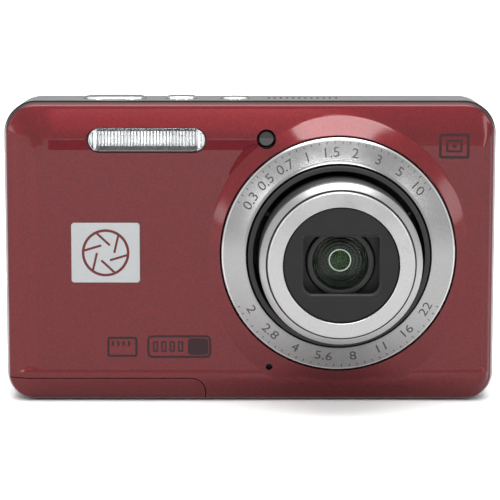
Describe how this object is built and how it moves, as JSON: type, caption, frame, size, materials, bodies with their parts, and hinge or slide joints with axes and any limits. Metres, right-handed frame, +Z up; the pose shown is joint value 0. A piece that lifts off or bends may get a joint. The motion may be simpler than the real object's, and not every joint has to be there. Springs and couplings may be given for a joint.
{
  "type": "compact digital camera",
  "caption": "Slim pocket camera with a red front, collapsing zoom lens, flash, rear display and keys, and a bottom door over battery and card.",
  "frame": {"origin": "centre of the flat base, below the middle of the body's width", "axes": "+Z up, the lens looks along -Y, +X to the right as seen from in front"},
  "size_m": [0.0915, 0.0353, 0.0565],
  "materials": {
    "red_paint": "satin metallic",
    "grey_plastic": "fine satin",
    "satin_silver": "bead blasted",
    "bright_chrome": "polished",
    "charcoal_plastic": "fine matt",
    "black_plastic": "fine matt",
    "lens_glass": "coated",
    "clear_plastic": "clear, ribbed",
    "steel": "satin",
    "white_nylon": "matt",
    "soft_rubber": "soft matt",
    "circuit_board": "satin"
  },
  "bodies": {
    "body": {"front_cover": "red_paint", "rear_cover": "grey_plastic", "top_cover": "grey_plastic", "lens_bezel": "satin_silver", "lens_housing": "black_plastic", "front_badge": "satin_silver", "flash_window": "clear_plastic", "flash_reflector": "bright_chrome", "flash_tube": "clear_plastic", "flash_capacitor": "black_plastic", "focus_lamp_window": "lens_glass", "microphone": "steel", "bottom_screw_1": "steel", "bottom_screw_2": "steel", "side_screw": "steel", "keys_board": "circuit_board", "lcd_window": "lens_glass", "lcd_panel": "black_plastic", "usb_port": "steel", "strap_lug": "steel", "tripod_socket": "steel", "focus_motor": "steel", "image_sensor": "black_plastic", "zoom_motor": "steel", "battery_holder": "black_plastic", "battery": "charcoal_plastic", "card_slot": "steel", "main_board": "circuit_board", "processor_chip": "black_plastic", "chassis_plate": "steel"},
    "lens_front": {"inner_barrel": "charcoal_plastic", "front_cap": "satin_silver", "face_plate": "black_plastic", "front_lens": "lens_glass", "shutter_unit": "black_plastic"},
    "outer_barrel": {"outer_barrel": "charcoal_plastic"},
    "cam_ring": {"cam_ring": "charcoal_plastic"},
    "zoom_gear": {"zoom_gear": "white_nylon"},
    "motor_pinion": {"motor_pinion": "white_nylon"},
    "barrier_upper": {"barrier_upper": "black_plastic"},
    "barrier_lower": {"barrier_lower": "black_plastic"},
    "focus_group": {"focus_frame": "black_plastic", "focus_lens": "lens_glass"},
    "focus_screw": {"focus_screw": "steel"},
    "shutter_button": {"shutter_button": "bright_chrome"},
    "power_button": {"power_button": "bright_chrome"},
    "mode_button": {"mode_button": "bright_chrome"},
    "record_button": {"record_button": "grey_plastic"},
    "play_button": {"play_button": "grey_plastic"},
    "menu_button": {"menu_button": "grey_plastic"},
    "delete_button": {"delete_button": "grey_plastic"},
    "zoom_rocker": {"zoom_rocker": "grey_plastic"},
    "pad_dome": {"pad_dome": "soft_rubber"},
    "direction_pad": {"direction_pad": "grey_plastic"},
    "ok_button": {"ok_button": "grey_plastic"},
    "door_hinge": {"door_hinge": "steel"},
    "battery_door": {"battery_door": "red_paint"},
    "battery_latch": {"battery_latch": "white_nylon"},
    "memory_card": {"memory_card": "black_plastic"},
    "port_cover": {"port_cover": "soft_rubber"}
  },
  "joints": [
    {"name": "lens_zoom", "type": "slide", "parent": "body", "child": "lens_front", "axis": [0, -1, 0], "range_m": [-0.0115, 0.005]},
    {"name": "outer_barrel_slide", "type": "slide", "parent": "body", "child": "outer_barrel", "axis": [0, -1, 0], "range_m": [-0.003, 0.0013]},
    {"name": "cam_ring_turn", "type": "hinge", "parent": "body", "child": "cam_ring", "pos_m": [0.01626, -0.003, 0.028], "axis": [0, 1, 0], "range_deg": [-61, 27]},
    {"name": "zoom_gear_turn", "type": "hinge", "parent": "body", "child": "zoom_gear", "pos_m": [0.03323, -0.00685, 0.01103], "axis": [0, 1, 0], "range_deg": [-80, 181]},
    {"name": "motor_pinion_turn", "type": "hinge", "parent": "body", "child": "motor_pinion", "pos_m": [0.03887, -0.00685, 0.0188], "axis": [0, 1, 0], "range_deg": [-301, 131]},
    {"name": "barrier_upper_slide", "type": "slide", "parent": "lens_front", "child": "barrier_upper", "axis": [0, 0, -1], "range_m": [0, 0.0053]},
    {"name": "barrier_lower_slide", "type": "slide", "parent": "lens_front", "child": "barrier_lower", "axis": [0, 0, 1], "range_m": [0, 0.0053]},
    {"name": "focus_slide", "type": "slide", "parent": "body", "child": "focus_group", "axis": [0, -1, 0], "range_m": [-0.001, 0.001]},
    {"name": "focus_screw_turn", "type": "hinge", "parent": "body", "child": "focus_screw", "pos_m": [0.01626, -0.002, 0.0178], "axis": [0, 1, 0], "range_deg": [-301, 301]},
    {"name": "shutter_press", "type": "slide", "parent": "body", "child": "shutter_button", "axis": [0, 0, -1], "range_m": [0, 0.0006], "stiffness_N_per_m": 1500, "springref_m": -0.0004},
    {"name": "power_press", "type": "slide", "parent": "body", "child": "power_button", "axis": [0, 0, -1], "range_m": [0, 0.0004], "stiffness_N_per_m": 2000, "springref_m": -0.0004},
    {"name": "mode_press", "type": "slide", "parent": "body", "child": "mode_button", "axis": [0, 0, -1], "range_m": [0, 0.0003], "stiffness_N_per_m": 2000, "springref_m": -0.0004},
    {"name": "record_press", "type": "slide", "parent": "body", "child": "record_button", "axis": [0, -1, 0], "range_m": [0, 0.00035], "stiffness_N_per_m": 2000, "springref_m": -0.0003},
    {"name": "play_press", "type": "slide", "parent": "body", "child": "play_button", "axis": [0, -1, 0], "range_m": [0, 0.00035], "stiffness_N_per_m": 2000, "springref_m": -0.0003},
    {"name": "menu_press", "type": "slide", "parent": "body", "child": "menu_button", "axis": [0, -1, 0], "range_m": [0, 0.00035], "stiffness_N_per_m": 2000, "springref_m": -0.0003},
    {"name": "delete_press", "type": "slide", "parent": "body", "child": "delete_button", "axis": [0, -1, 0], "range_m": [0, 0.00035], "stiffness_N_per_m": 2000, "springref_m": -0.0003},
    {"name": "ok_press", "type": "slide", "parent": "body", "child": "ok_button", "axis": [0, -1, 0], "range_m": [0, 0.0003], "stiffness_N_per_m": 2000, "springref_m": -0.0003},
    {"name": "zoom_rocker_turn", "type": "hinge", "parent": "body", "child": "zoom_rocker", "pos_m": [-0.031, 0.0075, 0.048], "axis": [0, 0, 1], "range_deg": [-4, 4], "stiffness_Nm_per_rad": 0.05},
    {"name": "pad_tilt_x", "type": "hinge", "parent": "body", "child": "pad_dome", "pos_m": [-0.031, 0.007, 0.022], "axis": [1, 0, 0], "range_deg": [-2.5, 2.5], "stiffness_Nm_per_rad": 0.1},
    {"name": "pad_tilt_z", "type": "hinge", "parent": "pad_dome", "child": "direction_pad", "pos_m": [-0.031, 0.007, 0.022], "axis": [0, 0, 1], "range_deg": [-2.5, 2.5], "stiffness_Nm_per_rad": 0.1},
    {"name": "door_slide", "type": "slide", "parent": "body", "child": "door_hinge", "axis": [-1, 0, 0], "range_m": [0, 0.003]},
    {"name": "door_turn", "type": "hinge", "parent": "door_hinge", "child": "battery_door", "pos_m": [-0.0268, 0.006, 0.001], "axis": [1, 0, 0], "range_deg": [0, 95]},
    {"name": "battery_latch_slide", "type": "slide", "parent": "body", "child": "battery_latch", "axis": [1, 0, 0], "range_m": [0, 0.0018], "stiffness_N_per_m": 300, "springref_m": -0.0005},
    {"name": "card_push", "type": "slide", "parent": "body", "child": "memory_card", "axis": [0, 0, 1], "range_m": [-0.0035, 0.0009]},
    {"name": "port_cover_turn", "type": "hinge", "parent": "body", "child": "port_cover", "pos_m": [-0.0457, 0.0064, 0.022], "axis": [0, 0, -1], "range_deg": [0, 110]}
  ],
  "couplings": [
    {"joint": "outer_barrel_slide", "follows": "lens_zoom", "ratio": 0.25},
    {"joint": "cam_ring_turn", "follows": "lens_zoom", "rad_per_m": 91.06},
    {"joint": "zoom_gear_turn", "follows": "lens_zoom", "rad_per_m": -273.18},
    {"joint": "motor_pinion_turn", "follows": "lens_zoom", "rad_per_m": 455.3},
    {"joint": "barrier_lower_slide", "follows": "barrier_upper_slide", "ratio": 1},
    {"joint": "focus_screw_turn", "follows": "focus_slide", "rad_per_m": 5236}
  ]
}
